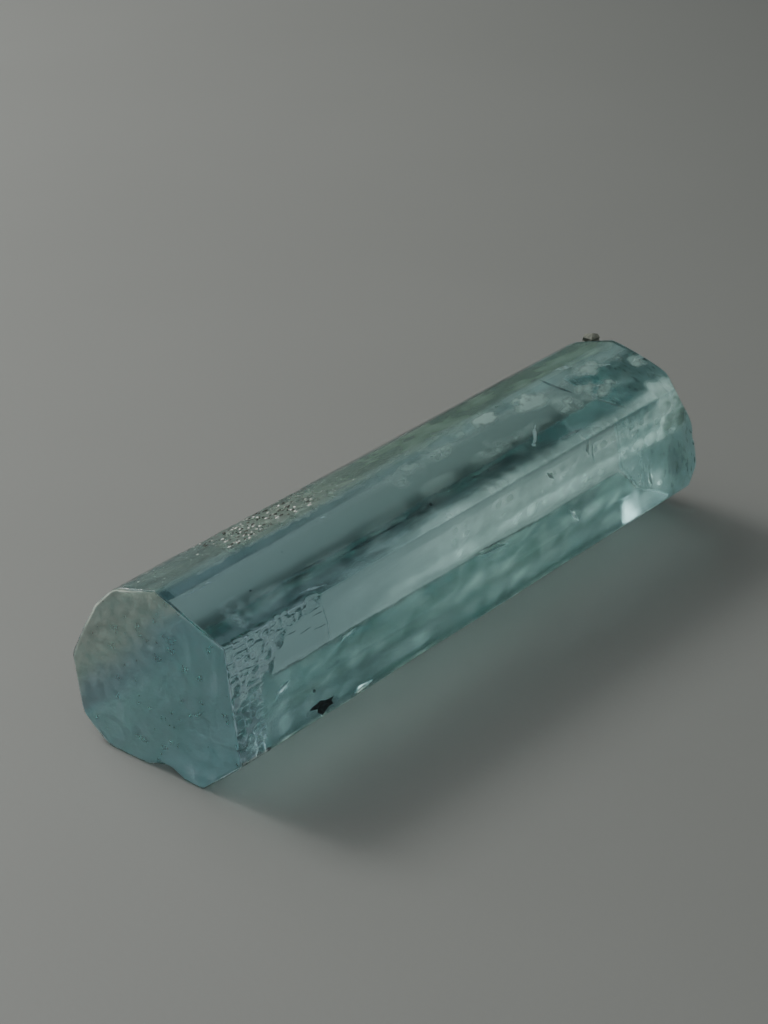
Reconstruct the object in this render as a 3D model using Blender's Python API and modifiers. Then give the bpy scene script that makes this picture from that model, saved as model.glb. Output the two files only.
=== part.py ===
"""Aquamarine crystal: one stout six-sided prism of beryl, lying on its worn flat underside.

Units are metres, +Z is up. +X runs along the prism, from the broken frosted end to the rounded
tip. The origin is the centre of the bounding box's floor, so the crystal rests on z = 0.
"""
from math import atan2, ceil, cos, pi, radians, sin, sqrt, tan

import bmesh
import bpy
from mathutils import Matrix, Vector

# ---- driving dimensions ----------------------------------------------------------------------

LENGTH = 0.0510

# The section's faces in order round the prism: name, width, heading in the YZ plane (degrees
# from +Y towards +Z). The front face, 7.8 mm wide and 9 degrees off plumb, closes the outline.
FACES = (
    ("upper", 0.00602, 19.9),
    ("narrow", 0.00364, -16.4),
    ("shoulder", 0.00268, -44.2),
    ("back", 0.00470, -64.1),
    ("back_low", 0.00415, -100.5),
    ("foot", 0.00270, -150.0),
    ("underside", 0.00799, -180.0),
    ("undercut", 0.00432, 139.0),
)
# Rounding of the edge where each face begins; the last is the edge that closes the outline.
EDGE_RADII = (0.00018, 0.00030, 0.00120, 0.00200, 0.00150, 0.00040, 0.00040, 0.00045, 0.00030)
ARC_STEP = radians(11)

# Both ends are slightly domed caps on a turned envelope that the prism is cut to.
ENVELOPE_RADIUS = 0.0120
BROKEN_END_DOME = 0.1600
TIP_DOME = 0.0160
DOME_AXIS = Vector((0.0, -0.0019, 0.0044))
CAP_RINGS = 10
ENVELOPE_SIDES = 48

# The tip's front corners are cut back: how far at the corner, and each cut's slope from upright.
CORNER_CUTS = (
    ("front_top", 0.0029, radians(52)),
    ("front_low", 0.0022, radians(60)),
)

# Conchoidal chips: name, centre of the scooping ball, its radius.
CHIPS = (
    ("chip_broken_end_low", Vector((-0.0265, -0.0008, -0.0016)), 0.0025),
    ("chip_broken_end_top", Vector((-0.0268, 0.0042, 0.0137)), 0.0028),
    ("chip_front_low", Vector((-0.0139, -0.0096, 0.0022)), 0.0027),
    ("chip_tip_back", Vector((0.0262, 0.0062, 0.0098)), 0.0034),
)

NAME = "crystal"
BEAM = 0.040            # size of the blocks that cut the tip's corners


# ---- the section -----------------------------------------------------------------------------

def face_walk():
    """The section's corners, as (y, z), from a walk round the faces that starts at (0, 0)."""
    points = [Vector((0.0, 0.0))]
    for _name, width, heading in FACES:
        step = Vector((cos(radians(heading)), sin(radians(heading)))) * width
        points.append(points[-1] + step)
    return points


def rounded(corners, radii):
    """The outline with each corner replaced by an arc of its own radius."""
    outline = []
    count = len(corners)
    for index, corner in enumerate(corners):
        before = (corners[index - 1] - corner).normalized()
        after = (corners[(index + 1) % count] - corner).normalized()
        half_angle = before.angle(after) / 2
        reach = radii[index] / tan(half_angle)
        centre = corner + (before + after).normalized() * radii[index] / sin(half_angle)
        start = corner + before * reach - centre
        end = corner + after * reach - centre
        first = atan2(start.y, start.x)
        sweep = (atan2(end.y, end.x) - first + pi) % (2 * pi) - pi
        steps = max(2, ceil(abs(sweep) / ARC_STEP))
        for k in range(steps + 1):
            angle = first + sweep * k / steps
            outline.append(centre + Vector((cos(angle), sin(angle))) * radii[index])
    return outline


def section():
    """Corners and rounded outline, with the outline's middle at y = 0 and its floor at z = 0."""
    corners = face_walk()
    outline = rounded(corners, EDGE_RADII)
    middle = (min(p.x for p in outline) + max(p.x for p in outline)) / 2
    shift = Vector((middle, min(p.y for p in outline)))
    return [p - shift for p in corners], [p - shift for p in outline]


# ---- builders --------------------------------------------------------------------------------

def new_collection(name):
    collection = bpy.data.collections.new(name)
    bpy.context.scene.collection.children.link(collection)
    return collection


def add_object(name, data, collection):
    made = bpy.data.objects.new(name, data)
    collection.objects.link(made)
    return made


def make_prism(collection, outline):
    """The plain prism: the rounded outline as a filled flat curve, extruded along X."""
    data = bpy.data.curves.new(NAME, "CURVE")
    data.dimensions = "2D"
    data.fill_mode = "BOTH"
    data.extrude = LENGTH / 2
    spline = data.splines.new("POLY")
    spline.points.add(len(outline) - 1)
    for point, place in zip(spline.points, outline):
        point.co = (place.x, place.y, 0.0, 1.0)
    spline.use_cyclic_u = True
    curve = add_object(NAME + "_outline", data, collection)
    curve.matrix_world = Matrix(((0, 0, 1, 0), (1, 0, 0, 0), (0, 1, 0, 0), (0, 0, 0, 1)))
    bpy.context.view_layer.update()
    solid = as_welded_mesh(curve, NAME, collection)
    bpy.data.objects.remove(curve)
    return solid


def as_welded_mesh(curve, name, collection):
    """A mesh object made from the curve, its loose caps joined to its sides."""
    evaluated = curve.evaluated_get(bpy.context.evaluated_depsgraph_get())
    mesh = bpy.data.meshes.new_from_object(evaluated)
    work = bmesh.new()
    work.from_mesh(mesh)
    bmesh.ops.remove_doubles(work, verts=work.verts, dist=1e-7)
    bmesh.ops.recalc_face_normals(work, faces=work.faces)
    work.to_mesh(mesh)
    work.free()
    mesh.name = name
    made = add_object(name, mesh, collection)
    made.matrix_world = curve.matrix_world.copy()
    return made


def envelope_profile():
    """Outer side of the turned envelope, from the tip's axis round to the broken end's axis."""
    def cap(dome, ring):
        radius = ENVELOPE_RADIUS * ring / CAP_RINGS
        return radius, dome - sqrt(dome * dome - radius * radius)

    tip = [cap(TIP_DOME, ring) for ring in range(CAP_RINGS + 1)]
    broken = [cap(BROKEN_END_DOME, ring) for ring in range(CAP_RINGS, -1, -1)]
    half = LENGTH / 2
    return [(r, half - sag) for r, sag in tip] + [(r, sag - half) for r, sag in broken]


def make_envelope(collection):
    """The turned cutter whose caps shape the two ends."""
    mesh = bpy.data.meshes.new("end_envelope")
    profile = envelope_profile()
    edges = [(k, k + 1) for k in range(len(profile) - 1)]
    mesh.from_pydata([(r, 0.0, along) for r, along in profile], edges, [])
    envelope = add_object("end_envelope", mesh, collection)
    turn = envelope.modifiers.new("turn", "SCREW")
    turn.steps = ENVELOPE_SIDES
    turn.render_steps = ENVELOPE_SIDES
    turn.use_merge_vertices = True
    turn.merge_threshold = 1e-6
    envelope.rotation_euler = (0.0, radians(90), 0.0)
    envelope.location = DOME_AXIS
    return as_cutter(envelope)


def make_corner_block(collection, name, corner, middle_height, depth, slope):
    """A block whose inner face cuts one corner of the tip back by depth."""
    outward = Vector((0.0, corner.x, corner.y - middle_height)).normalized()
    normal = (Vector((1, 0, 0)) * cos(slope) + outward * sin(slope)).normalized()
    foot = Vector((LENGTH / 2 - depth, corner.x, corner.y))
    mesh = bpy.data.meshes.new(name)
    work = bmesh.new()
    bmesh.ops.create_cube(work, size=BEAM)
    work.to_mesh(mesh)
    work.free()
    block = add_object(name, mesh, collection)
    block.rotation_mode = "QUATERNION"
    block.rotation_quaternion = normal.to_track_quat("Z", "Y")
    block.location = foot + normal * BEAM / 2
    return as_cutter(block)


def make_chip(collection, name, centre, radius):
    mesh = bpy.data.meshes.new(name)
    work = bmesh.new()
    bmesh.ops.create_icosphere(work, subdivisions=3, radius=radius)
    work.to_mesh(mesh)
    work.free()
    chip = add_object(name, mesh, collection)
    chip.location = centre
    return as_cutter(chip)


def as_cutter(made):
    made.hide_render = True
    made.display_type = "WIRE"
    return made


def cut(target, cutter, operation):
    step = target.modifiers.new(cutter.name, "BOOLEAN")
    step.operation = operation
    step.object = cutter


def crystal_material():
    material = bpy.data.materials.new("aquamarine")
    material.use_nodes = True
    shader = material.node_tree.nodes["Principled BSDF"]
    shader.inputs["Base Color"].default_value = (0.22, 0.45, 0.47, 1.0)
    shader.inputs["Roughness"].default_value = 0.12
    shader.inputs["Metallic"].default_value = 0.0
    shader.inputs["IOR"].default_value = 1.577
    shader.inputs["Transmission Weight"].default_value = 0.85
    return material


# ---- the model -------------------------------------------------------------------------------

def clear_scene():
    for leftover in list(bpy.data.objects):
        bpy.data.objects.remove(leftover)


def main():
    clear_scene()
    parts = new_collection("aquamarine_crystal")
    cutters = new_collection("cutters")

    corners, outline = section()
    middle_height = max(point.y for point in outline) / 2
    crystal = make_prism(parts, outline)
    crystal.data.materials.append(crystal_material())
    cut(crystal, make_envelope(cutters), "INTERSECT")
    front_corners = {"front_top": corners[0], "front_low": corners[-1]}
    for name, depth, slope in CORNER_CUTS:
        corner = front_corners[name]
        block = make_corner_block(cutters, name, corner, middle_height, depth, slope)
        cut(crystal, block, "DIFFERENCE")
    for name, centre, radius in CHIPS:
        cut(crystal, make_chip(cutters, name, centre, radius), "DIFFERENCE")


main()
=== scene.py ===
from math import atan2, ceil, cos, pi, radians, sin, sqrt, tan

import bpy
import numpy as np
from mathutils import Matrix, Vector


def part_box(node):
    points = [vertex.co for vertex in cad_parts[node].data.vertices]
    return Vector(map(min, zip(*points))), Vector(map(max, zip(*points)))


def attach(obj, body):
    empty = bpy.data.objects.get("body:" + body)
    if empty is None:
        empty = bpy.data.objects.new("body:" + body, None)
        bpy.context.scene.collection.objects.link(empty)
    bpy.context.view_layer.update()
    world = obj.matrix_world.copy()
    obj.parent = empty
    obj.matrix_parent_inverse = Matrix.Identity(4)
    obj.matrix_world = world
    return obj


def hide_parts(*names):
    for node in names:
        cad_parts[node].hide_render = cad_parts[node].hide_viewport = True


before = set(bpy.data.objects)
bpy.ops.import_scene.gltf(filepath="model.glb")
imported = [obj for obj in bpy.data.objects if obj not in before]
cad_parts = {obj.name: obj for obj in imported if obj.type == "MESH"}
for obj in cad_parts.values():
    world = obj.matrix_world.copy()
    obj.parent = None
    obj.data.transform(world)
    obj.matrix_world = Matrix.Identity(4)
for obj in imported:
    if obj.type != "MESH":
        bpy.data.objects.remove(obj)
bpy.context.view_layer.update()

MM = 0.001

# ---- the prism's section and ends, as the solid has them (millimetres) ------------------------

# The section's faces in order round the prism: name, width, heading in the YZ plane (degrees
# from +Y towards +Z). The front face closes the outline.
FACES = (
    ("upper", 6.02, 19.9),
    ("narrow", 3.64, -16.4),
    ("shoulder", 2.68, -44.2),
    ("back", 4.70, -64.1),
    ("back_low", 4.15, -100.5),
    ("foot", 2.70, -150.0),
    ("underside", 7.99, -180.0),
    ("undercut", 4.32, 139.0),
    ("front", 7.76, 81.0),
)
NAMES = [face[0] for face in FACES]
EDGE_RADII = (0.18, 0.30, 1.20, 2.00, 1.50, 0.80, 1.30, 0.60, 0.30)
HALF_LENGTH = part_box("crystal")[1].x / MM
DOME_AXIS = np.array((-1.9, 4.4))
TIP_DOME = 16.0
BROKEN_END_DOME = 160.0
CORNER_CUTS = (("upper", 2.9, radians(52)), ("front", 2.2, radians(60)))
CORNER_BLEND = 0.25
HIDDEN = ("shoulder", "back", "back_low", "foot", "underside", "undercut")

# Scooped chips: the ball's centre (x from the prism's middle) and radius. The first four are the
# solid's own.
CHIPS = (
    ((-26.5, -0.8, -1.6), 2.5),
    ((-26.8, 4.2, 13.7), 2.8),
    ((-13.9, -9.6, 2.2), 2.7),
    ((26.2, 6.2, 9.8), 3.4),
    ((-26.3, 6.9, 9.6), 1.6),
    ((-26.2, 1.2, 13.3), 1.5),
    ((-25.9, -6.9, 1.5), 0.9),
    ((-24.2, 7.5, 7.9), 1.1),
    ((-20.9, -7.2, 9.6), 1.35),
    ((25.2, -7.2, 6.4), 1.0),
)

# Mesh spacing (millimetres): on each face, round the edges, and along the prism from the broken end.
FACE_SPACING = (0.16, 0.11, 0.26, 0.30, 0.28, 0.30, 0.30, 0.24, 0.078)
EDGE_SPACING = 0.062
ALONG = (0.0, 4.6, 6.0, 10.0, 20.0, 24.0, 42.0, 47.5, 51.0)
ALONG_SPACING = (0.078, 0.082, 0.115, 0.13, 0.20, 0.42, 0.42, 0.20, 0.15)
RIM_STEPS = 6
# A cap's rings: from this share of its radius inwards, so many rings, each point of which stands
# for this many points of the outline.
CAP_RINGS = ((1.0, 18, 1), (0.60, 12, 2), (0.34, 8, 4), (0.16, 5, 8))
CAP_CORE = 0.04


# ---- smooth noise ----------------------------------------------------------------------------

def lattice_value(cell, seed):
    """A number from -1 to 1 for each whole-numbered lattice point, the same every run."""
    c = cell.astype(np.int64).astype(np.uint32)
    h = c[:, 0] * np.uint32(374761393) + c[:, 1] * np.uint32(668265263)
    h = h + c[:, 2] * np.uint32(2246822519) + np.uint32((seed * 3266489917) % 2**32)
    h = (h ^ (h >> np.uint32(15))) * np.uint32(2246822519)
    h = (h ^ (h >> np.uint32(13))) * np.uint32(3266489917)
    h = h ^ (h >> np.uint32(16))
    return (h & np.uint32(0xFFFFFF)) / float(0x7FFFFF) - 1.0


def noise(points, size, seed=0):
    """Smooth noise from -1 to 1. size is the width of a lump: one number, or one for each axis."""
    p = points / np.asarray(size, float)
    base = np.floor(p)
    f = p - base
    f = f * f * f * (f * (f * 6 - 15) + 10)
    total = np.zeros(len(p))
    for corner in np.ndindex(2, 2, 2):
        share = np.prod(np.where(corner, f, 1 - f), axis=1)
        total += share * lattice_value(base + corner, seed)
    return total


def fractal(points, size, octaves=4, seed=0, gain=0.5):
    """Noise with finer and fainter copies of itself on top."""
    size = np.asarray(size, float)
    total, weight, norm = np.zeros(len(points)), 1.0, 0.0
    for octave in range(octaves):
        total += weight * noise(points, size / 2**octave, seed + 17 * octave)
        norm += weight
        weight *= gain
    return total / norm


def rise(low, high, value):
    """0 below low, 1 above high, and a smooth rise between."""
    t = np.clip((value - low) / (high - low), 0, 1)
    return t * t * (3 - 2 * t)


def unit(vectors):
    return vectors / np.linalg.norm(vectors, axis=-1, keepdims=True)


# ---- the section -----------------------------------------------------------------------------

def heading_of(name):
    turn = radians(FACES[NAMES.index(name)][2])
    return np.array((cos(turn), sin(turn)))


def face_walk():
    corners = [np.zeros(2)]
    for name, width, _heading in FACES[:-1]:
        corners.append(corners[-1] + width * heading_of(name))
    return np.array(corners)


def edge_arc(corners, k):
    """Centre, first angle and sweep of the rounding at corner k, and its reach along the faces."""
    here = corners[k]
    before = unit(corners[k - 1] - here)
    after = unit(corners[(k + 1) % len(corners)] - here)
    half = 0.5 * np.arccos(before @ after)
    centre = here + unit(before + after) * EDGE_RADII[k] / sin(half)
    reach = EDGE_RADII[k] / tan(half)
    start, end = here + before * reach - centre, here + after * reach - centre
    first = atan2(start[1], start[0])
    sweep = (atan2(end[1], end[0]) - first + pi) % (2 * pi) - pi
    return centre, first, sweep, reach


def rounded_outline(corners):
    """Dense points round the section with its edges rounded, and the spacing wanted at each."""
    points, spacings = [], []
    count = len(corners)
    for k in range(count):
        centre, first, sweep, reach = edge_arc(corners, k)
        radius = EDGE_RADII[k]
        spacing = min(EDGE_SPACING * max(1.0, radius / 0.35), FACE_SPACING[k])
        for angle in np.linspace(first, first + sweep, 24):
            points.append(centre + radius * np.array((cos(angle), sin(angle))))
            spacings.append(spacing)
        here, ahead = corners[k], corners[(k + 1) % count]
        width = np.linalg.norm(ahead - here)
        direction = (ahead - here) / width
        ahead_reach = edge_arc(corners, (k + 1) % count)[3]
        for along in np.linspace(reach, width - ahead_reach, 60)[1:-1]:
            points.append(here + direction * along)
            spacings.append(FACE_SPACING[k])
    return np.array(points), np.array(spacings)


def resample_loop(points, spacings, divisor):
    """The loop with points as far apart as the spacings say, their number a multiple of divisor."""
    closed = np.vstack((points, points[:1]))
    wanted = np.append(spacings, spacings[0])
    legs = np.linalg.norm(np.diff(closed, axis=0), axis=1)
    effort = np.append(0, np.cumsum(legs / (0.5 * (wanted[1:] + wanted[:-1]))))
    count = ceil(effort[-1] / divisor) * divisor
    places = np.arange(count) * effort[-1] / count
    return np.column_stack([np.interp(places, effort, closed[:, axis]) for axis in (0, 1)])


def outline_normals(loop):
    ahead = np.roll(loop, -1, axis=0) - np.roll(loop, 1, axis=0)
    return unit(np.column_stack((-ahead[:, 1], ahead[:, 0])))


class Section:
    """The rounded section, placed as in the solid: middle at y = 0, floor at z = 0."""

    def __init__(self):
        corners = face_walk()
        outline, spacings = rounded_outline(corners)
        middle = (outline[:, 0].min() + outline[:, 0].max()) / 2
        shift = np.array((middle, outline[:, 1].min()))
        self.corners = corners - shift
        self.height = outline[:, 1].max() - shift[1]
        self.middle = np.array((0.0, self.height / 2))
        self.loop = resample_loop(outline - shift, spacings, CAP_RINGS[-1][2])
        self.normals = outline_normals(self.loop)

    def axes(self, name):
        """A face's far corner, the direction across it from that corner, and its normal."""
        far = self.corners[(NAMES.index(name) + 1) % len(NAMES)]
        direction = heading_of(name)
        return far, -direction, np.array((-direction[1], direction[0]))

    def place(self, name, x, across, depth=0.0):
        """The point x along from the broken end, across the face from its far edge, and below it."""
        far, direction, normal = self.axes(name)
        y, z = far + direction * across - normal * depth
        return np.array((x - HALF_LENGTH, y, z))

    def find(self, name, points):
        """How far along, across and below a face points lie, as place counts them."""
        far, direction, normal = self.axes(name)
        offset = points[:, 1:] - far
        return points[:, 0] + HALF_LENGTH, offset @ direction, -(offset @ normal)

    def share(self, name, points, reach=0.25):
        """1 on the named side face and 0 off it."""
        _x, _across, depth = self.find(name, points)
        return 1 - rise(0.4 * reach, reach, np.abs(depth))


# ---- the ends --------------------------------------------------------------------------------

def soft_min(a, b, blend):
    share = np.clip(0.5 + 0.5 * (b - a) / blend, 0, 1)
    return b * (1 - share) + a * share - blend * share * (1 - share)


def tip_x(yz, section):
    """X of the rounded tip over each point of the section."""
    away = np.linalg.norm(yz - DOME_AXIS, axis=1)
    x = HALF_LENGTH - TIP_DOME + np.sqrt(TIP_DOME**2 - away**2)
    for name, depth, slope in CORNER_CUTS:
        corner = section.corners[NAMES.index(name)]
        outward = unit(corner - section.middle)
        cut = HALF_LENGTH - depth - (yz - corner) @ outward * tan(slope)
        x = soft_min(x, cut, CORNER_BLEND)
    return x


def broken_x(yz, _section):
    away = np.linalg.norm(yz - DOME_AXIS, axis=1)
    return -HALF_LENGTH + BROKEN_END_DOME - np.sqrt(BROKEN_END_DOME**2 - away**2)


# ---- the crystal's surface -------------------------------------------------------------------

def side_shares():
    """Stations along the side, as shares of its length, closer together near the broken end."""
    x = np.linspace(0, 2 * HALF_LENGTH, 2000)
    effort = np.append(0, np.cumsum(np.diff(x) / np.interp(x, ALONG, ALONG_SPACING)[1:]))
    count = round(effort[-1])
    return np.interp(np.arange(count + 1) * effort[-1] / count, effort, x) / (2 * HALF_LENGTH)


def joined(a, n, b, m):
    """Faces between a ring of n points that starts at a and the next, of m points, at b."""
    if n == m:
        return [(a + k, b + k, b + (k + 1) % m, a + (k + 1) % n) for k in range(n)]
    if n == 1:
        return [(a, b + k, b + (k + 1) % m) for k in range(m)]
    if m == 1:
        return [(a + k, b, a + (k + 1) % n) for k in range(n)]
    faces = []
    for k in range(min(n, m)):
        after = (k + 1) % min(n, m)
        first, second, third = 2 * k, 2 * k + 1, (2 * k + 2) % max(n, m)
        if n > m:
            faces += [(a + first, b + k, a + second), (a + second, b + k, b + after)]
            faces.append((a + second, b + after, a + third))
        else:
            faces += [(a + k, b + first, b + second), (a + k, b + second, a + after)]
            faces.append((a + after, b + second, b + third))
    return faces


class Rings:
    """Rings of points round the prism, from the broken end's middle to the tip's middle."""

    def __init__(self, section):
        self.section = section
        self.points, self.outs = [], []

    def add(self, x, yz, along, outward, stride=1):
        points = np.column_stack((np.broadcast_to(x, len(yz)), yz))[::stride]
        out = np.column_stack((np.broadcast_to(along, len(yz)), outward))[::stride]
        self.points.append(points)
        self.outs.append(unit(out))

    def cap(self, end_x, radius, sign):
        """An end's rings, from its rim inwards for the tip and outwards for the broken end."""
        middle = self.section.middle
        rim = self.section.loop - self.section.normals * radius[:, None]
        lows = [ring[0] for ring in CAP_RINGS[1:]] + [CAP_CORE]
        plan = []
        for (high, count, stride), low in zip(CAP_RINGS, lows):
            plan += [(high + (low - high) * k / count, stride) for k in range(count)]
        for share, stride in plan if sign > 0 else reversed(plan):
            yz = middle + (rim - middle) * share
            self.add(end_x(yz, self.section), yz, sign, 0 * yz, stride)
        return end_x(rim, self.section)

    def rim(self, edge_x, radius, sign):
        """The rounded rim between an end and the sides."""
        turns = [radians(90) * k / RIM_STEPS for k in range(1, RIM_STEPS)]
        for turn in turns if sign < 0 else reversed(turns):
            inset = radius * (1 - sin(turn))
            yz = self.section.loop - self.section.normals * inset[:, None]
            x = edge_x - sign * radius * (1 - cos(turn))
            self.add(x, yz, sign * cos(turn), self.section.normals * sin(turn))

    def mesh(self):
        """One closed surface: points, their outward directions, and faces."""
        ends = [np.mean(self.points[k], axis=0, keepdims=True) for k in (0, -1)]
        rings = [ends[0]] + self.points + [ends[1]]
        outs = [np.array([[-1.0, 0, 0]])] + self.outs + [np.array([[1.0, 0, 0]])]
        starts = np.append(0, np.cumsum([len(ring) for ring in rings]))
        faces = []
        for a in range(len(rings) - 1):
            faces += joined(starts[a], len(rings[a]), starts[a + 1], len(rings[a + 1]))
        return np.vstack(rings), np.vstack(outs), faces


def plain_surface(section):
    """The prism with rounded rims, before etching and wear."""
    place = np.column_stack((np.zeros(len(section.loop)), section.loop))
    wear = 0.5 + 0.5 * fractal(place, 2.2, 3, seed=5)
    worn_side = rise(0.5, 3.0, section.loop[:, 0]) * rise(6.0, 9.0, section.loop[:, 1])
    near_radius = 0.10 + 0.26 * wear**2 + 0.30 * worn_side * wear
    far_radius = 0.12 + 0.30 * wear
    rings = Rings(section)
    near_x = rings.cap(broken_x, near_radius, -1)
    rings.rim(near_x, near_radius, -1)
    far_rim = section.loop - section.normals * far_radius[:, None]
    far_x = tip_x(far_rim, section)
    start, end = near_x + near_radius, far_x - far_radius
    for share in side_shares():
        rings.add(start + (end - start) * share, section.loop, 0, section.normals)
    rings.rim(far_x, far_radius, 1)
    rings.cap(tip_x, far_radius, 1)
    return rings.mesh()


# ---- etching, wear and finish ----------------------------------------------------------------

# The etched patch on the front face: how far it reaches from the broken end, across the face.
ETCH_ACROSS = (0.0, 0.6, 0.9, 1.4, 4.4, 7.2, 7.8)
ETCH_REACH = (8.8, 8.5, 5.7, 4.6, 2.8, 2.9, 3.1)


def etched_share(points, section):
    """1 in the front face's etched patch by the broken end, with a ragged border."""
    x, across, _depth = section.find("front", points)
    ragged = 0.45 * fractal(points, 0.9, 3, seed=41)
    reach = np.interp(across, ETCH_ACROSS, ETCH_REACH)
    return section.share("front", points) * (1 - rise(-0.35, 0.35, x - reach + ragged))


def pitted_share(points, section):
    """How strongly the narrow face is pitted: most from 8 to 16 mm, fading out by 24 mm."""
    x, _across, _depth = section.find("narrow", points)
    strength = np.interp(x, (0, 2, 7, 9, 15, 18, 24, 30), (0.45, 0.5, 0.6, 1, 1, 0.6, 0.25, 0.1))
    return section.share("narrow", points, 0.35) * strength


def worms(points, size, seed):
    """Winding ridges: 1 on their crests and 0 in the grooves between."""
    size = np.array(size)
    bent = points + 0.35 * size * np.column_stack(
        [noise(points, 1.6 * size, seed + k) for k in (1, 2, 3)])
    return 1 - np.abs(noise(bent, size, seed)) * 2.2


def relief(points, outs, section):
    """How far each point of the surface is pressed in, in millimetres."""
    end_share = rise(0.3, 0.8, -outs[:, 0])
    tip_share = rise(0.3, 0.8, outs[:, 0])
    side_share = 1 - end_share - tip_share
    hidden = np.max([section.share(name, points) for name in HIDDEN], axis=0) * side_share

    etched = etched_share(points, section) * side_share
    ridges = np.clip(worms(points, (0.62, 0.5, 0.42), 51), -0.6, 1)
    fine = worms(points, (0.30, 0.24, 0.22), 57)
    press = etched * (0.13 - 0.105 * ridges - 0.022 * fine)

    pitted = pitted_share(points, section) * side_share
    pits = rise(0.05, 0.55, fractal(points, (0.55, 0.4, 0.4), 3, seed=61))
    crumbs = np.abs(noise(points, (0.34, 0.22, 0.22), 65))
    press = press + pitted * (0.03 + 0.09 * pits + 0.06 * crumbs + 0.02 * noise(points, 0.2, 63))

    broken = 0.11 + 0.055 * fractal(points, 2.6, 2, seed=71) + 0.022 * fractal(points, 0.9, 2, seed=73)
    steps = rise(-0.10, 0.10, noise(points, (9, 1.9, 1.5), 75) - 0.12)
    press = press + end_share * (broken + 0.03 * steps)

    swell = 0.5 + 0.5 * fractal(points, (7.0, 2.6, 2.6), 3, seed=81)
    press = press + hidden * (0.085 * swell + 0.012 * noise(points, (1.1, 0.6, 0.6), 83))

    faces = (1 - hidden) * side_share
    lines = fractal(points, (16, 0.55, 0.55), 2, seed=91)
    waves = 0.5 + 0.5 * noise(points, (9, 3.5, 3.5), 95)
    press = press + faces * (0.0025 + 0.0025 * lines + 0.012 * waves)

    worn = tip_share * (0.03 + 0.03 * fractal(points, (2.0, 1.1, 1.1), 3, seed=97))
    worn_rim = 4 * outs[:, 0].clip(0, 1) * (1 - outs[:, 0].clip(0, 1))
    press = press + worn + 0.05 * worn_rim * (0.5 + 0.5 * noise(points, 0.9, 99))
    near_rim = 4 * (-outs[:, 0]).clip(0, 1) * (1 - (-outs[:, 0]).clip(0, 1))
    press = press + 0.07 * near_rim * (0.5 + 0.5 * fractal(points, 0.8, 3, seed=101))
    return press


def scooped(points):
    """The points with each chip's ball scooped out, and 1 on the scoops."""
    chipped = np.zeros(len(points))
    for centre, radius in CHIPS:
        away = points - np.array(centre)
        distance = np.linalg.norm(away, axis=1)
        inside = distance < radius
        ripple = 1 + 0.012 * np.sin(distance[inside] / radius * 40)
        points[inside] += away[inside] * ((radius * ripple / distance[inside]) - 1)[:, None]
        chipped[inside] = 1
    return points, chipped


def finish_maps(points, outs, section, chipped):
    """The numbers that the crystal's material reads at each point of its surface."""
    end_share = rise(0.3, 0.8, -outs[:, 0])
    tip_share = rise(0.3, 0.8, outs[:, 0])
    side = (1 - end_share) * (1 - tip_share)
    hidden = np.max([section.share(name, points) for name in HIDDEN], axis=0) * side
    etched = etched_share(points, section) * side
    pitted = pitted_share(points, section) * side
    near_rim = rise(0.10, 0.35, -outs[:, 0]) * (1 - rise(0.75, 0.97, -outs[:, 0]))
    worn_high = near_rim * rise(1.5, 3.5, points[:, 1]) * rise(7.0, 10.0, points[:, 2])
    y, z = points[:, 1], points[:, 2]
    pale_corner = end_share * rise(-1.5, 2.5, y + z - 9.2 + 1.2 * fractal(points, 1.8, 3, seed=111))
    patchy = 0.5 + 0.5 * fractal(points, (3.0, 1.6, 1.6), 4, seed=113)

    wisps = rise(0.20, 0.80, fractal(points, (2.0, 1.0, 1.7), 2, seed=115))
    front_rim = near_rim * (1 - rise(-5.6, -4.6, points[:, 1])) * rise(2.0, 6.0, points[:, 2])
    ridges = rise(0.3, 0.9, worms(points, (0.62, 0.5, 0.42), 51))
    veil = 0.004 * hidden + etched * (0.08 + 0.30 * ridges) + 0.07 * pitted
    veil = veil + end_share * (0.12 + 0.10 * patchy + 0.12 * wisps) + 0.20 * pale_corner
    veil = veil + 0.34 * worn_high + 0.35 * front_rim
    tip_rim = rise(0.10, 0.40, outs[:, 0]) * (1 - rise(0.80, 0.97, outs[:, 0]))
    plain_rim = near_rim * section.share("upper", points, 0.6)
    veil = veil + 0.20 * tip_share + 0.20 * tip_rim + 0.06 * chipped * side
    veil = veil + 0.20 * (near_rim - plain_rim)
    x = points[:, 0] + HALF_LENGTH
    rough = 0.035 + 0.03 * hidden * patchy + 0.07 * section.share("foot", points) * side
    rough = rough + 0.12 * etched + 0.30 * pitted
    rough = rough + end_share * (0.27 + 0.12 * patchy) + 0.30 * tip_share + 0.12 * near_rim
    rough = np.maximum(rough, 0.22 * chipped)
    grain = 0.08 + 0.7 * etched + 0.9 * pitted + 0.45 * end_share + 0.14 * hidden + 0.25 * tip_share
    pale = 0.9 * pale_corner + 0.8 * pitted + worn_high
    maps = (("clear", 1 - veil), ("rough", rough), ("grain", grain), ("pale", pale),
            ("tint", 1 - hidden), ("far", rise(4, 30, x)))
    return [(label, np.clip(values, 0, 1)) for label, values in maps]


def crystal_surface(section):
    """Points, faces and finish maps of the etched, worn crystal."""
    points, outs, faces = plain_surface(section)
    pressed = points - outs * relief(points, outs, section).clip(0, 0.6)[:, None]
    pressed, chipped = scooped(pressed)
    return pressed, faces, finish_maps(points, outs, section, chipped)


# ---- objects and materials -------------------------------------------------------------------

def make_mesh(name, points, faces, attributes=()):
    """A smooth-shaded object from points in millimetres. attributes: (name, value per point)."""
    mesh = bpy.data.meshes.new(name)
    mesh.from_pydata((np.asarray(points) * MM).tolist(), [], faces)
    for label, values in attributes:
        layer = mesh.attributes.new(label, "FLOAT", "POINT")
        layer.data.foreach_set("value", np.asarray(values, np.float32))
    mesh.shade_smooth()
    made = bpy.data.objects.new(name, mesh)
    bpy.context.scene.collection.objects.link(made)
    return made


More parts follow.
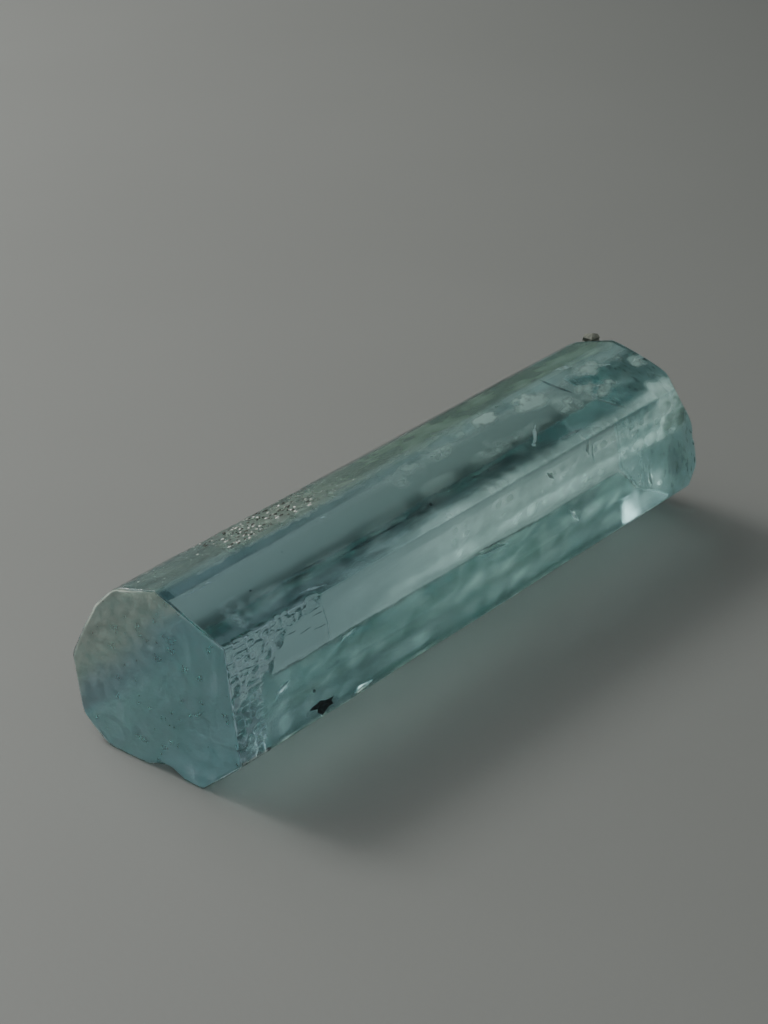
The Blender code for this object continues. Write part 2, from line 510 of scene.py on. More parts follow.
class Nodes:
    """A material's node tree, with short ways to add and link nodes."""

    def __init__(self, name):
        self.material = bpy.data.materials.new(name)
        self.material.use_nodes = True
        self.tree = self.material.node_tree
        self.shader = self.tree.nodes["Principled BSDF"]
        self.place = self.add("ShaderNodeTexCoord").outputs["Object"]

    def add(self, kind, **settings):
        node = self.tree.nodes.new(kind)
        for key, value in settings.items():
            setattr(node, key, value)
        return node

    def put(self, value, socket):
        """Sets or links a socket."""
        if isinstance(value, bpy.types.NodeSocket):
            self.tree.links.new(value, socket)
        else:
            socket.default_value = value

    def stored(self, label):
        return self.add("ShaderNodeAttribute", attribute_name=label).outputs["Fac"]

    def noise(self, width, detail=4.0, stretch=(1, 1, 1), shift=0.0):
        """Noise from 0 to 1 with lumps about width millimetres wide, drawn out by stretch."""
        mapping = self.add("ShaderNodeMapping")
        self.put(self.place, mapping.inputs["Vector"])
        self.put((shift, shift, shift), mapping.inputs["Location"])
        self.put([1 / amount for amount in stretch], mapping.inputs["Scale"])
        node = self.add("ShaderNodeTexNoise")
        self.put(mapping.outputs["Vector"], node.inputs["Vector"])
        self.put(1 / (width * MM), node.inputs["Scale"])
        self.put(detail, node.inputs["Detail"])
        return node.outputs["Fac"]

    def math(self, operation, a, b=0.0, clamp=False):
        node = self.add("ShaderNodeMath", operation=operation, use_clamp=clamp)
        self.put(a, node.inputs[0])
        self.put(b, node.inputs[1])
        return node.outputs["Value"]

    def remap(self, value, low, high, to_low=0.0, to_high=1.0):
        node = self.add("ShaderNodeMapRange", interpolation_type="SMOOTHSTEP")
        for socket, given in zip(node.inputs, (value, low, high, to_low, to_high)):
            self.put(given, socket)
        return node.outputs["Result"]

    def blend(self, share, a, b):
        node = self.add("ShaderNodeMix", data_type="RGBA")
        self.put(share, node.inputs["Factor"])
        self.put(a, node.inputs[6])
        self.put(b, node.inputs[7])
        return node.outputs[2]

    def bump(self, height, distance, strength=1.0, normal=None):
        node = self.add("ShaderNodeBump")
        self.put(height, node.inputs["Height"])
        self.put(distance * MM, node.inputs["Distance"])
        self.put(strength, node.inputs["Strength"])
        if normal is not None:
            self.put(normal, node.inputs["Normal"])
        return node.outputs["Normal"]


IOR = 1.577


def aquamarine_material():
    nodes = Nodes("aquamarine")
    shader = nodes.shader.inputs
    clear, rough = nodes.stored("clear"), nodes.stored("rough")
    grain, pale = nodes.stored("grain"), nodes.stored("pale")
    tint, far = nodes.stored("tint"), nodes.stored("far")
    mottle = nodes.noise(0.7, 2.0)
    blue = nodes.blend(far, (0.61, 0.81, 0.92, 1), (0.66, 0.84, 0.84, 1))
    body = nodes.blend(tint, (0.98, 0.99, 0.99, 1), blue)
    nodes.put(nodes.blend(pale, body, (0.60, 0.68, 0.58, 1)), shader["Base Color"])
    veil = nodes.math("SUBTRACT", 1.0, clear)
    veil = nodes.math("MULTIPLY", veil, nodes.remap(mottle, 0.3, 0.7, 0.8, 1.25))
    nodes.put(nodes.math("SUBTRACT", 1.0, veil, clamp=True), shader["Transmission Weight"])
    nodes.put(nodes.math("MULTIPLY", rough, nodes.remap(mottle, 0.3, 0.7, 0.75, 1.3)), shader["Roughness"])
    lines = nodes.bump(nodes.noise(0.22, 1.0, (30, 1, 1)), 0.0024)
    nodes.put(nodes.bump(nodes.noise(0.26, 3.0), 0.040, grain, lines), shader["Normal"])
    shader["IOR"].default_value = IOR
    absorption = nodes.add("ShaderNodeVolumeAbsorption")
    absorption.inputs["Color"].default_value = (0.24, 0.885, 0.895, 1)
    absorption.inputs["Density"].default_value = 32.0
    nodes.put(absorption.outputs[0], nodes.tree.nodes["Material Output"].inputs["Volume"])
    return nodes.material


def make_crystal(section):
    points, faces, maps = crystal_surface(section)
    crystal = make_mesh("crystal_surface", points, faces, maps)
    crystal.data.materials.append(aquamarine_material())
    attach(crystal, "root")
    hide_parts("crystal")
    return crystal


# ---- what is sealed in the crystal -----------------------------------------------------------

CAMERA_PLACE = np.array((-126.9, -99.5, 89.7))
SEAL_DEPTH = 0.30
SHEET_THICKNESS = 0.02
OVERLAP = 0.45
# The direction, inside the crystal, that most of the light comes from.
LIT_FROM = unit(np.array((-0.04, 0.66, 0.75)))


def seen(section, name, x, across, depth):
    """The point at depth below a face that shows at (x, across) on it from the photo's viewpoint."""
    surface = section.place(name, x, across)
    _far, _direction, normal = section.axes(name)
    normal = np.array((0.0, *normal))
    ray = unit(surface - CAMERA_PLACE)
    cosine = -ray @ normal
    bent = ray / IOR + (cosine / IOR - sqrt(1 - (1 - cosine**2) / IOR**2)) * normal
    return surface + unit(bent) * depth / abs(unit(bent) @ normal)


def sealed(made, material):
    made.data.materials.append(material)
    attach(made, "root")


def least_depth(section, points):
    """How far below the nearest side face each point lies."""
    return np.min([section.find(name, points)[2] for name in NAMES], axis=0)


class Sheets:
    """Thin closed wavy sheets with a stored strength, made into one object."""

    def __init__(self, section):
        self.section = section
        self.points, self.faces, self.fades, self.count = [], [], [], 0

    def kept_inside(self, points):
        """The points, pushed in from the faces and ends that they pass."""
        for _turn in range(3):
            for name in NAMES:
                _far, _direction, normal = self.section.axes(name)
                _x, _across, depth = self.section.find(name, points)
                points[:, 1:] -= np.outer((SEAL_DEPTH - depth).clip(0), normal)
        points[:, 0] = np.minimum(points[:, 0], tip_x(points[:, 1:], self.section) - SEAL_DEPTH)
        points[:, 0] = np.maximum(points[:, 0], 0.5 - HALF_LENGTH)
        return points

    def add(self, corners, counts, wave, fade, seed):
        """A sheet over four corners (00, 10, 11, 01); fade(u, v) is its strength."""
        a, b, c, d = (np.asarray(corner, float) for corner in corners)
        columns, rows = counts
        grid = np.meshgrid(np.linspace(0, 1, columns), np.linspace(0, 1, rows))
        u, v = (values.ravel() for values in grid)
        flat = (np.outer((1 - u) * (1 - v), a) + np.outer(u * (1 - v), b)
                + np.outer(u * v, c) + np.outer((1 - u) * v, d))
        normal = unit(np.cross(b - a, d - a))
        sheet = flat + np.outer(wave * fractal(flat, (7, 2.5, 2.5), 3, seed), normal)
        strength = fade(u, v) * rise(0.5 * SEAL_DEPTH, 2 * SEAL_DEPTH, least_depth(self.section, sheet))
        sheet = self.kept_inside(sheet)
        count = columns * rows
        faces = []
        for j in range(rows - 1):
            for i in range(columns - 1):
                k = j * columns + i
                faces.append((k, k + columns, k + columns + 1, k + 1))
                faces.append((count + k, count + k + 1, count + k + columns + 1, count + k + columns))
        rim = list(range(columns)) + [j * columns + columns - 1 for j in range(1, rows)]
        rim += [(rows - 1) * columns + i for i in range(columns - 2, -1, -1)]
        rim += [j * columns for j in range(rows - 2, 0, -1)]
        for here, ahead in zip(rim, rim[1:] + rim[:1]):
            faces.append((here, ahead, count + ahead, count + here))
        self.points.append(np.vstack((sheet, sheet + normal * SHEET_THICKNESS)))
        self.faces += [tuple(self.count + k for k in face) for face in faces]
        self.fades.append(np.tile(np.clip(strength, 0, 1), 2))
        self.count += 2 * count

    def patch(self, face, start, end, depths, strength, seed):
        """A patch that shows on a face between two corners (x, across), fading at its rim."""
        (x0, w0), (x1, w1) = start, end
        top, low = depths
        corners = [seen(self.section, face, x, w, depth)
                   for x, w, depth in ((x0, w0, top), (x0, w1, low), (x1, w1, low), (x1, w0, top))]
        self.add(corners, (22, 30), 0.12, ragged_spot(strength, seed), seed)

    def glint(self, spot, fade, seed):
        """A flake that shows on a face and lies so that it throws the light back out of it."""
        face, x, across, depth, half_along, half_across = spot
        centre = seen(self.section, face, x, across, depth)
        sight = unit(centre - self.section.place(face, x, across))
        normal = unit(LIT_FROM - sight)
        _far, direction, _normal = self.section.axes(face)
        along, beside = (way - sight * (way @ normal) / (sight @ normal)
                         for way in (half_along * np.array((1.0, 0, 0)), half_across * np.array((0, *direction))))
        corners = (centre - along - beside, centre + along - beside,
                   centre + along + beside, centre - along + beside)
        counts = (24, 16) if half_along * half_across > 0.5 else (12, 10)
        self.add(corners, counts, 0.03, fade, seed)

    def make(self, name, material):
        sheets = make_mesh(name, np.vstack(self.points), self.faces, [("fade", np.hstack(self.fades))])
        sealed(sheets, material)


def ragged_spot(strength, seed):
    """A fade for a sheet: strong in its middle, with a ragged outline."""
    def fade(u, v):
        radius = np.hypot(2 * u - 1, 2 * v - 1)
        ragged = 0.8 * fractal(np.column_stack((3 * u, 3 * v, 0 * u)), 1.0, 4, seed)
        return strength * (1 - rise(0.0, 1.1, radius + ragged)) * rise(0, 0.3, 1 - radius.clip(0, 1))
    return fade


def even_window(strength, seed, overlap=OVERLAP):
    """A fade for one of a row of sheets that overlap by a share of their size: even in the sum."""
    def fade(u, v):
        along = rise(0, overlap, u) * rise(0, overlap, 1 - u)
        across = rise(0, 0.4, v) * rise(0, 0.4, 1 - v)
        return strength * along * across * (1 + 0.25 * fractal(np.column_stack((3 * u, 2 * v, 0 * u)), 1.0, 2, seed))
    return fade


class Bits:
    """Many small closed shapes, made into one object."""

    def __init__(self, section):
        self.section = section
        self.points, self.faces, self.count = [], [], 0

    def put(self, points, faces):
        self.points.append(points)
        self.faces += [tuple(self.count + k for k in face) for face in faces]
        self.count += len(points)

    def lump(self, centre, radii, seed):
        """An irregular twenty-sided grain."""
        turns = radians(72) * np.arange(5)
        upper = np.column_stack((np.cos(turns), np.sin(turns), np.full(5, 0.5))) * (0.894, 0.894, 0.894)
        lower = -upper
        shape = np.vstack(([[0, 0, 1]], upper, lower, [[0, 0, -1]]))
        shape = shape * (1 + 0.35 * fractal(shape * 3 + seed * 1.7, 1.0, 2, seed))[:, None]
        faces = []
        for k in range(5):
            ahead = (k + 1) % 5
            a, b = 6 + (k + 3) % 5, 6 + (k + 2) % 5
            faces += [(0, 1 + k, 1 + ahead), (1 + k, b, 1 + ahead), (1 + ahead, b, a), (a, b, 11)]
        self.put(np.asarray(centre) + shape * np.asarray(radii), faces)

    def ribbon(self, face, path, width, depth, wobble=0.05, seed=0):
        """A thin tapered blade under a face, along a path of (x, across) points."""
        path = np.array(path, float)
        legs = np.append(0, np.cumsum(np.linalg.norm(np.diff(path, axis=0), axis=1)))
        count = max(4, ceil(legs[-1] / 0.12))
        along = np.linspace(0, legs[-1], count)
        line = np.column_stack([np.interp(along, legs, path[:, axis]) for axis in (0, 1)])
        flat = np.column_stack((line, np.full(count, seed * 3.1)))
        line = line + wobble * np.column_stack([fractal(flat, 0.5, 3, seed + k) for k in (1, 2)])
        across = unit(np.gradient(line, axis=0))[:, ::-1] * (1, -1)
        share = np.linspace(0, 1, count)
        half = 0.5 * width * (0.12 + 0.88 * np.sin(pi * share)) * (1 + 0.6 * noise(flat, 0.4, seed + 5))
        points = []
        for side, sunk in ((1, 0.0), (-1, 0.02), (-1, 0.05), (1, 0.03)):
            for (x, w), reach, (dx, dw) in zip(line, half, across):
                points.append(seen(self.section, face, x + side * reach * dx,
                                   w + side * reach * dw, depth + sunk))
        faces = []
        for k in range(count - 1):
            for a, b in ((0, 1), (1, 2), (2, 3), (3, 0)):
                faces.append((a * count + k, b * count + k, b * count + k + 1, a * count + k + 1))
        last = count - 1
        faces += [(3 * count, 2 * count, count, 0), (last, count + last, 2 * count + last, 3 * count + last)]
        self.put(np.array(points), faces)

    def flake(self, face, outline, depth, thickness):
        """A thin slab under a face, with a jagged outline of (x, across) points."""
        count = len(outline)
        top = [seen(self.section, face, x, w, depth) for x, w in outline]
        bottom = [seen(self.section, face, x, w, depth + thickness) for x, w in outline]
        sides = [(k, (k + 1) % count, count + (k + 1) % count, count + k) for k in range(count)]
        self.put(np.array(top + bottom), [tuple(reversed(range(count))),
                                          tuple(range(count, 2 * count))] + sides)

    def make(self, name, material):
        made = make_mesh(name, np.vstack(self.points), self.faces)
        made.data.shade_flat()
        sealed(made, material)


def milky_material(name, colour, width, stretch, low, high, shift):
    """A film whose strength is its stored fade times cloudy noise."""
    nodes = Nodes(name)
    shader = nodes.shader.inputs
    mottle = nodes.noise(width, 3.0, stretch, shift)
    cloud = nodes.remap(mottle, 0.32, 0.68, low, high)
    nodes.put(nodes.math("MULTIPLY", nodes.stored("fade"), cloud, clamp=True), shader["Alpha"])
    shaded = [part * 0.85 for part in colour[:3]] + [1]
    nodes.put(nodes.blend(mottle, shaded, colour), shader["Base Color"])
    nodes.put(nodes.remap(mottle, 0.3, 0.7, 0.75, 0.95), shader["Roughness"])
    shader["Specular IOR Level"].default_value = 0.1
    return nodes.material


def flaky_material(name, rough, width, stretch, low, high, shift):
    """Fine gaps that mirror the light: their share of the surface is the stored fade times noise."""
    nodes = Nodes(name)
    shader = nodes.shader.inputs
    fine = nodes.noise(width, 2.0, stretch, shift)
    cloud = nodes.remap(fine, 0.34, 0.66, low, high)
    nodes.put(nodes.math("MULTIPLY", nodes.stored("fade"), cloud, clamp=True), shader["Alpha"])
    nodes.put(nodes.blend(fine, (0.88, 0.96, 0.90, 1), (0.98, 1.0, 0.95, 1)), shader["Base Color"])
    nodes.put(nodes.remap(fine, 0.3, 0.7, rough * 0.85, rough * 1.15), shader["Roughness"])
    shader["Metallic"].default_value = 1.0
    return nodes.material


def grain_material(name, dark, light, rough, alpha=(1.0, 1.0)):
    """A solid grain or crack face, mottled from dark to light."""
    nodes = Nodes(name)
    shader = nodes.shader.inputs
    mottle = nodes.noise(0.18, 4.0)
    nodes.put(nodes.blend(nodes.remap(mottle, 0.35, 0.65), dark, light), shader["Base Color"])
    nodes.put(nodes.remap(mottle, 0.3, 0.7, rough * 0.7, rough * 1.3), shader["Roughness"])
    nodes.put(nodes.remap(nodes.noise(0.3, 3.0, shift=2.0), 0.35, 0.65, *alpha), shader["Alpha"])
    nodes.put(nodes.bump(mottle, 0.03), shader["Normal"])
    return nodes.material


def make_veils(section):
    milk = milky_material("milk", (0.80, 0.90, 0.88, 1), 1.8, (2.5, 1, 1), 0.55, 1.25, 1.0)
    cloud = milky_material("cloud", (0.84, 0.93, 0.88, 1), 0.9, (1.5, 1, 1), 0.0, 1.6, 3.0)
    flaky = flaky_material("flaky_veil", 0.36, 1.4, (3.5, 1, 1), 0.50, 1.40, 4.0)
    olive = milky_material("olive_veil", (0.64, 0.74, 0.62, 1), 1.6, (1.8, 1, 1), 0.5, 1.3, 6.0)
    # A near-black film for the sheets of painted shade made below.
    painted_shade_film = milky_material("painted_shade_film", (0.05, 0.11, 0.12, 1), 1.4, (1.6, 1, 1), 0.5, 1.3, 5.0)

    def along_upper_edge(u, v):
        along = np.interp(u, (0, 0.1, 0.4, 0.6, 1), (0.16, 0.20, 0.24, 0.34, 0.36))
        return along * rise(0, 0.12, v) * rise(0, 0.35, 1 - v)

    upper = Sheets(section)
    corners = [seen(section, "upper", x, w, 0.7) for x, w in ((1.0, -0.25), (50, -0.25), (50, 1.7), (1.0, 1.7))]
    upper.add(corners, (120, 12), 0.08, along_upper_edge, 7)
    upper.make("veil_upper_edge", milk)

    def sheet_under_narrow(u, v):
        along = np.interp(u, (0, 0.2, 0.4, 1), (0.24, 0.26, 0.40, 0.44))
        return along * rise(0, 0.12, v) * rise(0, 0.12, 1 - v)

    narrow = Sheets(section)
    corners = [section.place("narrow", x, w, 0.60) for x, w in ((0.5, 0.1), (51, 0.1), (51, 3.5), (0.5, 3.5))]
    narrow.add(corners, (120, 10), 0.06, sheet_under_narrow, 33)
    narrow.make("veil_narrow", olive)

    mist = Sheets(section)
    stations = (4, 9, 14, 22, 30, 44, 46.5)
    edge_band = (0.0, 0.0, 0.020, 0.050, 0.070, 0.060, 0.160)
    upper_band = (0.0, 0.006, 0.050, 0.180, 0.260, 0.270, 0.400)
    lower_band = (0.040, 0.036, 0.034, 0.050, 0.056, 0.055, 0.045)
    lowest_band = (0.040, 0.024, 0.030, 0.038, 0.038, 0.040, 0.030)
    for row, (across, half_across, half_along, overlap, band) in enumerate((
        (0.40, 0.42, 1.4, 0.5, edge_band), (0.98, 0.52, 1.2, 0.5, upper_band), (1.72, 0.66, 1.4, 0.5, upper_band),
        (2.66, 0.82, 1.6, 0.5, upper_band), (3.90, 1.05, 2.0, 0.35, lower_band), (5.25, 1.05, 2.0, 0.35, lower_band),
        (6.65, 1.00, 2.0, 0.35, lowest_band),
    )):
        step = 2 * half_along * (1 - overlap)
        for index in range(ceil(47 / step)):
            x = 2.5 + step * (index + 0.5 * (row % 2) + 0.07 * sin(12.9 * index + 5 * row))
            strength = np.interp(x, stations, band) * (1 + 0.2 * sin(7.7 * index + 3 * row))
            if strength < 0.01:
                continue
            seed = 400 + 70 * row + index
            depth = 0.35 + 0.53 * half_along + 1.34 * half_across
            spot = ("front", x, across, depth, half_along, half_across)
            mist.glint(spot, even_window(strength, seed, overlap), seed)
    mist.make("veil_mist", flaky)

    glints = Sheets(section)
    for index, spot in enumerate((
        ("front", 26.5, 4.1, 1.9, 2.4, 0.5, 0.05),
        ("front", 45.2, 5.9, 2.6, 1.2, 0.9, 0.12),
        ("front", 49.0, 5.4, 1.6, 0.7, 1.0, 0.10),
        ("front", 37.35, 0.9, 1.0, 0.22, 0.55, 0.85),
        ("front", 32.9, 1.0, 1.0, 0.35, 0.35, 0.70),
        ("front", 35.0, 4.8, 1.2, 0.30, 0.50, 0.55),
        ("front", 44.3, 5.6, 1.4, 0.35, 0.60, 0.75),
        ("front", 45.3, 6.3, 1.4, 0.50, 0.40, 0.40),
        ("front", 4.5, 4.4, 0.9, 0.60, 0.28, 0.60),
        ("front", 10.9, 3.5, 0.7, 0.65, 0.12, 0.60),
        ("front", 11.6, 7.35, 0.9, 0.80, 0.18, 0.60),
        ("upper", 26.6, 0.9, 1.2, 1.6, 0.8, 0.10),
        ("upper", 32.4, 0.7, 1.2, 1.5, 0.7, 0.10),
        ("upper", 37.0, 1.1, 1.2, 2.2, 1.0, 0.13),
        ("upper", 39.2, 2.4, 1.2, 1.5, 1.0, 0.09),
        ("upper", 43.6, 1.0, 1.2, 1.6, 0.8, 0.13),
        ("upper", 48.4, 2.4, 0.9, 1.1, 0.7, 0.22),
    )):
        *place, strength = spot
        glints.glint(place, ragged_spot(strength, 360 + index), 360 + index)
    for index in range(26):
        x, across = 5.0 + 1.75 * index, (4.9, 4.1, 3.3)[index % 3]
        lower, upper = (np.interp(x, (5, 18, 24, 50), band) for band in ((0.055, 0.045, 0.016, 0.02), (0.0, 0.03, 0.045, 0.045)))
        strength = lower if across > 3.5 else upper
        glints.glint(("upper", x, across, 1.3, 2.6, 0.8), ragged_spot(strength, 420 + index), 420 + index)
    for index, (x, across) in enumerate(((46.9, 0.8), (46.9, 2.2), (48.5, 0.9), (48.4, 2.3))):
        glints.glint(("front", x, across, 1.7, 1.1, 0.9), even_window(0.85, 390 + index), 390 + index)
    glints.make("veil_glints", flaky)

    clouds = Sheets(section)
    for index, (x0, w0, x1, w1, strength) in enumerate((
        (24.6, 0.1, 28.4, 1.9, 0.55), (28.4, 0.0, 31.0, 1.3, 0.30), (30.6, 0.0, 34.0, 1.4, 0.55),
        (34.4, 0.0, 39.6, 2.2, 0.70), (37.4, 1.2, 41.0, 3.9, 0.50), (41.6, 0.0, 45.6, 2.0, 0.60),
        (45.0, 0.8, 47.8, 2.2, 0.45), (47.2, 1.6, 49.8, 3.4, 0.80), (20.5, 0.4, 25.0, 2.6, 0.25),
        (40.0, 1.6, 45.6, 3.9, 0.45), (28.0, 2.0, 34.0, 3.9, 0.25),
    )):
        clouds.patch("upper", (x0, w0), (x1, w1), (0.50, 0.55), 1.6 * strength, 220 + index)
    clouds.make("veil_clouds", cloud)

    tongue, dark = Sheets(section), Sheets(section)
    tongue.patch("upper", (1.2, 2.9), (6.0, 5.9), (1.2, 0.5), 0.30, 200)
    tongue.make("veil_near_tongue", cloud)
    # Painted shade: dark sheets under the front face near the tip and under the upper face along its edge with the
    # front face darken the crystal there.
    dark.patch("front", (46.2, 3.0), (49.0, 7.0), (0.8, 0.5), 0.16, 201)
    corners = [seen(section, "upper", x, w, 0.5) for x, w in ((22, 4.2), (50.5, 4.2), (50.5, 6.4), (22, 6.4))]
    dark.add(corners, (60, 12), 0.05, even_window(0.24, 203, 0.3), 203)
    dark.make("painted_shade_veils", painted_shade_film)


def make_white_cracks_and_painted_glints(section):
    # White blades under the upper and front faces: partly real white fractures, partly painted glints.
    bits = Bits(section)
    for face, path, width, depth in (
        ("upper", ((7.9, 5.2), (8.8, 5.35), (10.0, 5.6)), 0.16, 0.10),
        ("upper", ((1.9, 1.38), (2.5, 1.45)), 0.08, 0.08),
        ("upper", ((2.8, 1.48), (3.3, 1.45)), 0.10, 0.08),
        ("upper", ((3.4, 1.32), (3.9, 1.40)), 0.08, 0.08),
        ("upper", ((4.4, 1.16), (4.8, 1.20)), 0.07, 0.08),
        ("upper", ((14.4, 1.2), (14.8, 1.3)), 0.09, 0.08),
        ("upper", ((35.2, 3.0), (34.6, 3.4), (33.9, 4.0), (33.4, 4.3)), 0.34, 0.5),
        ("upper", ((35.5, 4.95), (38.2, 5.1)), 0.22, 0.6),
        ("upper", ((41.4, -0.05), (42.3, 0.05), (43.2, 0.3)), 0.28, 0.4),
        ("upper", ((44.4, 1.0), (45.3, 1.4), (46.0, 1.7)), 0.22, 0.4),
        ("upper", ((42.7, 2.6), (43.4, 2.85)), 0.20, 0.4),
        ("upper", ((48.3, 2.2), (49.2, 2.6)), 0.30, 0.2),
        ("front", ((10.3, 3.70), (10.9, 3.50), (11.7, 3.42)), 0.11, 0.06),
        ("front", ((9.0, 0.7), (9.1, 1.3), (9.25, 2.0), (9.2, 3.2)), 0.07, 0.08),
        ("front", ((3.8, 4.85), (4.2, 4.4), (4.8, 4.25), (5.2, 4.12)), 0.14, 0.06),
        ("front", ((10.8, 7.46), (11.6, 7.40), (12.6, 7.38)), 0.22, 0.08),
        ("front", ((24.3, 3.55), (25.6, 3.66), (27.6, 3.85)), 0.14, 0.15),
        ("front", ((32.5, 0.7), (32.9, 1.05), (33.3, 1.5)), 0.22, 0.3),
        ("front", ((34.6, 4.2), (35.0, 4.75), (35.5, 5.3)), 0.18, 0.3),
        ("front", ((37.5, 0.15), (37.35, 0.5), (37.2, 0.95)), 0.34, 0.2),
        ("front", ((37.9, 0.5), (37.8, 1.2), (37.9, 1.9)), 0.12, 0.3),
        ("front", ((44.2, 4.9), (44.25, 5.5), (44.5, 6.1)), 0.30, 0.2),
    ):
        bits.ribbon(face, path, width, depth, 0.06, seed=bits.count)
    # White lumps: painted glints.
    for face, x, across, depth, size in (
        ("upper", 41.9, 3.3, 0.5, 0.30), ("upper", 33.35, 4.32, 0.5, 0.22),
        ("upper", 48.9, 2.3, 0.3, 0.25),
    ):
        bits.lump(seen(section, face, x, across, depth), (size, size * 0.8, size * 0.5), bits.count)
    material = grain_material("white_crack_and_painted_glint", (0.62, 0.74, 0.74, 1), (0.95, 0.98, 0.97, 1), 0.35, (0.45, 1.0))
    bits.make("white_cracks_and_painted_glints", material)


def make_dark_cracks(section):
    bits = Bits(section)
    for face, path, width, depth in (
        ("front", ((22.8, 3.3), (25.7, 3.34), (28.0, 3.5), (30.3, 3.62), (33.7, 3.72)), 0.10, 0.12),
        ("upper", ((39.6, 0.0), (40.0, 1.0), (40.6, 2.2)), 0.30, 0.35),
        ("front", ((7.7, 0.75), (8.9, 0.72)), 0.05, 0.05),
        ("front", ((7.9, 1.05), (9.0, 1.10)), 0.06, 0.05),
        ("front", ((6.6, 1.70), (7.8, 1.66)), 0.05, 0.05),
        ("front", ((8.0, 1.95), (9.1, 2.02)), 0.05, 0.05),
        ("front", ((5.4, 1.30), (6.4, 1.34)), 0.05, 0.05),
        ("upper", ((11.5, 4.35), (16.0, 4.42), (21.5, 4.38)), 0.10, 0.25),
        ("upper", ((8.0, 3.85), (12.5, 3.95)), 0.07, 0.25),
        ("upper", ((23.5, 4.15), (31.0, 4.30)), 0.09, 0.25),
    ):
        bits.ribbon(face, path, width, depth, 0.04, seed=bits.count)
    material = grain_material("dark_crack", (0.02, 0.05, 0.06, 1), (0.09, 0.17, 0.18, 1), 0.5, (0.25, 0.8))
    bits.make("dark_cracks", material)


def make_black_grains(section):
    bits = Bits(section)
    outline = ((6.45, 6.80), (6.95, 6.70), (7.30, 6.66), (7.64, 6.58), (7.95, 6.74), (8.27, 6.80),
               (8.95, 6.82), (8.62, 7.02), (8.76, 7.28), (8.26, 7.30), (7.83, 7.52), (7.62, 7.64),
               (7.46, 7.42), (7.21, 7.28), (7.30, 7.02), (6.90, 6.96))
    bits.flake("front", outline, 0.05, 0.30)
    for face, x, across, size in (
        ("front", 7.17, 5.77, 0.13), ("front", 6.2, 7.05, 0.07), ("front", 9.15, 7.2, 0.06),
        ("front", 2.65, 7.66, 0.16), ("upper", 21.92, 4.36, 0.13), ("upper", 5.43, 3.32, 0.09),
        ("upper", 9.8, 2.0, 0.06),
    ):
        bits.lump(seen(section, face, x, across, 1.5 * size), (size * 1.2, size, size), bits.count)
    bits.make("black_grains", grain_material("black_mineral", (0.004, 0.008, 0.012, 1), (0.03, 0.06, 0.07, 1), 0.4))


def make_flecks(section):
    """Dark and pale mineral flecks stuck on the narrow face, and a grain on the tip."""
    dark, pale = Bits(section), Bits(section)
    chance = np.random.default_rng(11)
    for index in range(300):
        x = chance.triangular(0.3, 10.5, 24.0)
        across = chance.uniform(0.2, 3.45)
        size = chance.uniform(0.03, 0.085) * (1.25 if 7 < x < 16 else 0.7)
        place = section.place("narrow", x, across, 0.08)
        bits = dark if chance.random() < 0.62 else pale
        bits.lump(place, (size * chance.uniform(1.0, 2.4), size, size * 0.8), index)
    dark.make("dark_flecks", grain_material("dark_fleck", (0.015, 0.018, 0.016, 1), (0.10, 0.11, 0.09, 1), 0.6))
    pale.make("pale_flecks", grain_material("pale_fleck", (0.55, 0.58, 0.52, 1), (0.92, 0.94, 0.90, 1), 0.5))
    grain = Bits(section)
    grain.lump((24.2, 2.25, 11.55), (0.75, 0.55, 0.52), 41)
    grain.lump((24.6, 2.85, 11.30), (0.50, 0.45, 0.40), 43)
    grain.make("tip_grain", grain_material("tip_grain", (0.08, 0.09, 0.07, 1), (0.17, 0.18, 0.15, 1), 0.8))


def make_inner_pieces(section):
    make_veils(section)
    make_white_cracks_and_painted_glints(section)
    make_dark_cracks(section)
    make_black_grains(section)
    make_flecks(section)


# ---- floor, light and camera -----------------------------------------------------------------

CAMERA_AZIMUTH = radians(-51.25)
CAMERA_PITCH = radians(26.95)
LENS = 94.9
FLOOR_GAP = 0.03        # the crystal bears on a few high spots, a hair above the floor


def make_floor():
    bpy.ops.mesh.primitive_plane_add(size=3.0, location=(0, 0, -FLOOR_GAP * MM))
    floor = bpy.context.object
    floor.name = "floor"
    nodes = Nodes("floor")
    cloudy = nodes.remap(nodes.noise(40, 3.0), 0.3, 0.7)
    # Painted shade: towards +X and -Y the floor's colour darkens from its pale tone to a grey about half as bright.
    parts = nodes.add("ShaderNodeSeparateXYZ")
    nodes.put(nodes.place, parts.inputs[0])
    towards = nodes.math("ADD", nodes.math("MULTIPLY", parts.outputs["X"], 0.78),
                         nodes.math("MULTIPLY", parts.outputs["Y"], -0.62))
    fading = nodes.add("ShaderNodeMapRange")
    for socket, given in zip(fading.inputs, (towards, -0.07, 0.09)):
        nodes.put(given, socket)
    pale = nodes.blend(cloudy, (0.252, 0.258, 0.246, 1), (0.264, 0.270, 0.258, 1))
    nodes.put(nodes.blend(fading.outputs["Result"], pale, (0.119, 0.126, 0.119, 1)),
              nodes.shader.inputs["Base Color"])
    nodes.shader.inputs["Roughness"].default_value = 0.65
    nodes.put(nodes.bump(nodes.noise(0.5, 3.0), 0.01), nodes.shader.inputs["Normal"])
    floor.data.materials.append(nodes.material)


def area_light(name, place, target, size, spread, power, colour):
    data = bpy.data.lights.new(name, "AREA")
    data.shape = "DISK"
    data.size = size
    data.spread = radians(spread)
    data.energy = power
    data.color = colour
    lamp = bpy.data.objects.new(name, data)
    lamp.location = place
    lamp.rotation_euler = (Vector(place) - Vector(target)).to_track_quat("Z", "Y").to_euler()
    bpy.context.scene.collection.objects.link(lamp)


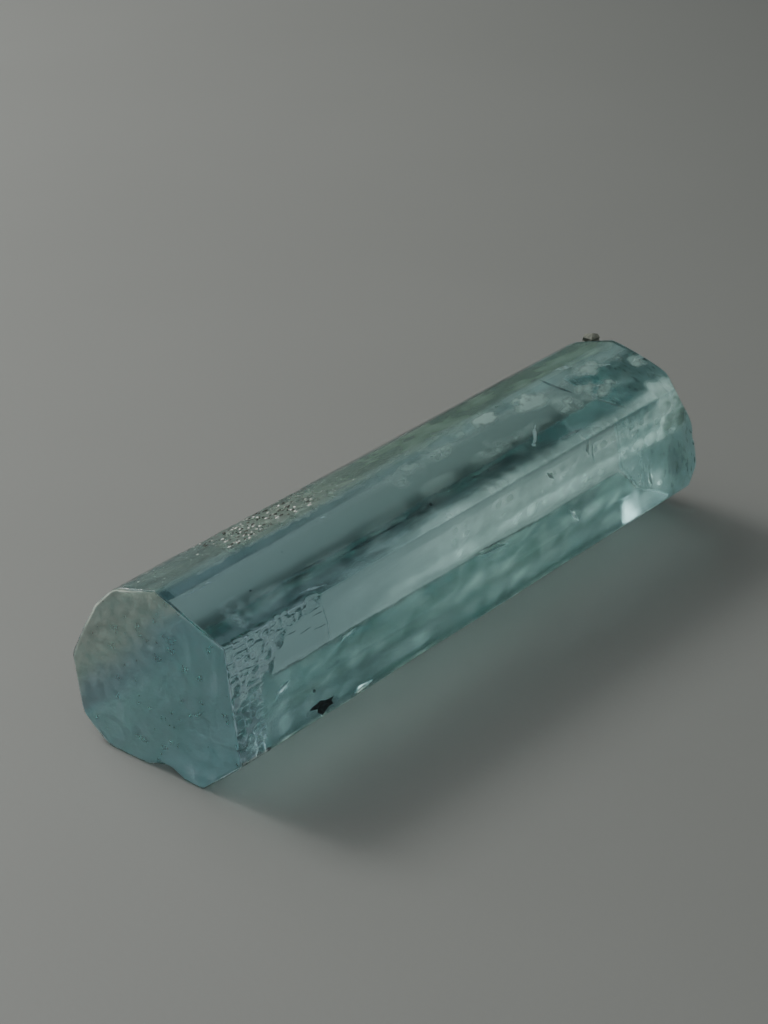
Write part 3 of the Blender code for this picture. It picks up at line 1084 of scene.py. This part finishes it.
def more_bounces():
    cycles = bpy.context.scene.cycles
    cycles.max_bounces = 18
    cycles.transmission_bounces = 18
    cycles.transparent_max_bounces = 64


def make_sky(zenith, horizon, dark_side):
    """A studio dome, dimmer towards the horizon and on the side that the tip points to."""
    world = bpy.data.worlds.new("dome")
    world.use_nodes = True
    tree = world.node_tree
    background = tree.nodes["Background"]
    direction = tree.nodes.new("ShaderNodeTexCoord")
    parts = tree.nodes.new("ShaderNodeSeparateXYZ")
    tree.links.new(direction.outputs["Generated"], parts.inputs[0])
    both = tree.nodes.new("ShaderNodeMath")
    both.operation = "MULTIPLY"
    ranges = (("Z", 0.12, 0.95, horizon, zenith), ("X", -0.25, 0.48, 1.0, dark_side))
    for socket, (axis, *limits) in zip(both.inputs, ranges):
        ramp = tree.nodes.new("ShaderNodeMapRange")
        tree.links.new(parts.outputs[axis], ramp.inputs["Value"])
        for given, value in zip(list(ramp.inputs)[1:5], limits):
            given.default_value = value
        tree.links.new(ramp.outputs["Result"], socket)
    tree.links.new(both.outputs["Value"], background.inputs["Strength"])
    background.inputs["Color"].default_value = (0.95, 0.99, 0.98, 1)
    bpy.context.scene.world = world


def make_lights():
    area_light("back_softbox", (-0.03, 0.37, 0.29), (0, 0, 0), 0.45, 180, 1.03, (1.0, 0.99, 0.96))
    area_light("back_core", (-0.03, 0.34, 0.31), (0, 0, 0), 0.14, 180, 1.02, (1.0, 0.99, 0.96))
    make_sky(0.88, 0.11, 0.20)


def make_camera():
    data = bpy.data.cameras.new("camera")
    data.lens = LENS
    data.sensor_width = 36.0
    camera = bpy.data.objects.new("camera", data)
    camera.location = Vector(CAMERA_PLACE * MM)
    camera.rotation_euler = (radians(90) - CAMERA_PITCH, 0.0, CAMERA_AZIMUTH)
    bpy.context.scene.collection.objects.link(camera)
    bpy.context.scene.camera = camera


# ---- the scene -------------------------------------------------------------------------------

make_camera()
section = Section()
crystal = make_crystal(section)
make_inner_pieces(section)
make_floor()
make_lights()
more_bounces()
